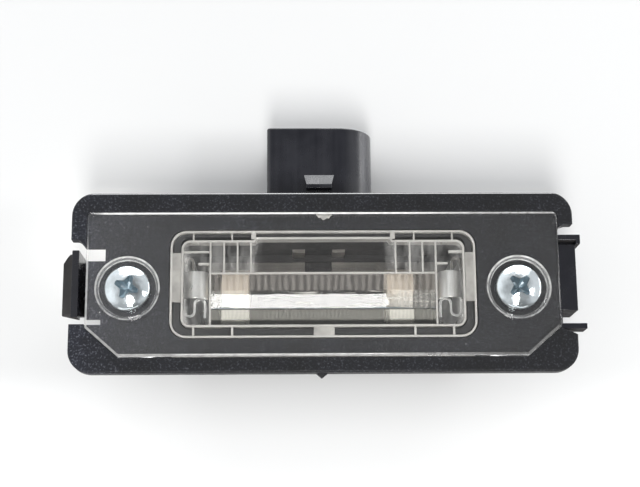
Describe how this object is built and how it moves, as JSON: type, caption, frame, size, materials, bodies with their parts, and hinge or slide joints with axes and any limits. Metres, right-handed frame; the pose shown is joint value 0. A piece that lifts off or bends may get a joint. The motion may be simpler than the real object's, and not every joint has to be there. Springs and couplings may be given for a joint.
{
  "type": "number plate lamp",
  "caption": "Rear number plate lamp with a flat flange, clear ribbed lens, festoon bulb between sheet-metal contacts and a plug-in connector socket.",
  "frame": {"origin": "middle of the flange's rear face, the seat that lies against the body panel", "axes": "+Z out of the lens, +X along the lamp to the locating tabs, +Y towards the connector socket; the lamp lies on its flat back"},
  "size_m": [0.0866, 0.044, 0.0196],
  "materials": {
    "housing_plastic": "black moulded plastic, fine grain on the flange, smooth on the shroud",
    "lens_plastic": "clear, polished",
    "seal_rubber": "matte black",
    "screw_zinc": "bright zinc plated",
    "contact_metal": "tinned spring strip, satin",
    "bulb_glass": "clear",
    "cap_metal": "nickel-washed brass, satin",
    "filament_wire": "drawn tungsten wire",
    "lead_wire": "drawn wire",
    "solder": "dull solder",
    "cement": "matte"
  },
  "bodies": {
    "root": {"housing": "housing_plastic", "lens": "lens_plastic", "lens_seal": "seal_rubber", "screw_left": "screw_zinc", "screw_right": "screw_zinc", "contact_left": "contact_metal", "contact_right": "contact_metal", "bulb_glass": "bulb_glass", "bulb_cap_left": "cap_metal", "bulb_cap_right": "cap_metal", "filament": "filament_wire", "lead_wire_left": "lead_wire", "lead_wire_right": "lead_wire", "solder_tip_left": "solder", "solder_tip_right": "solder", "cap_cement_left": "cement", "cap_cement_right": "cement"}
  },
  "joints": []
}
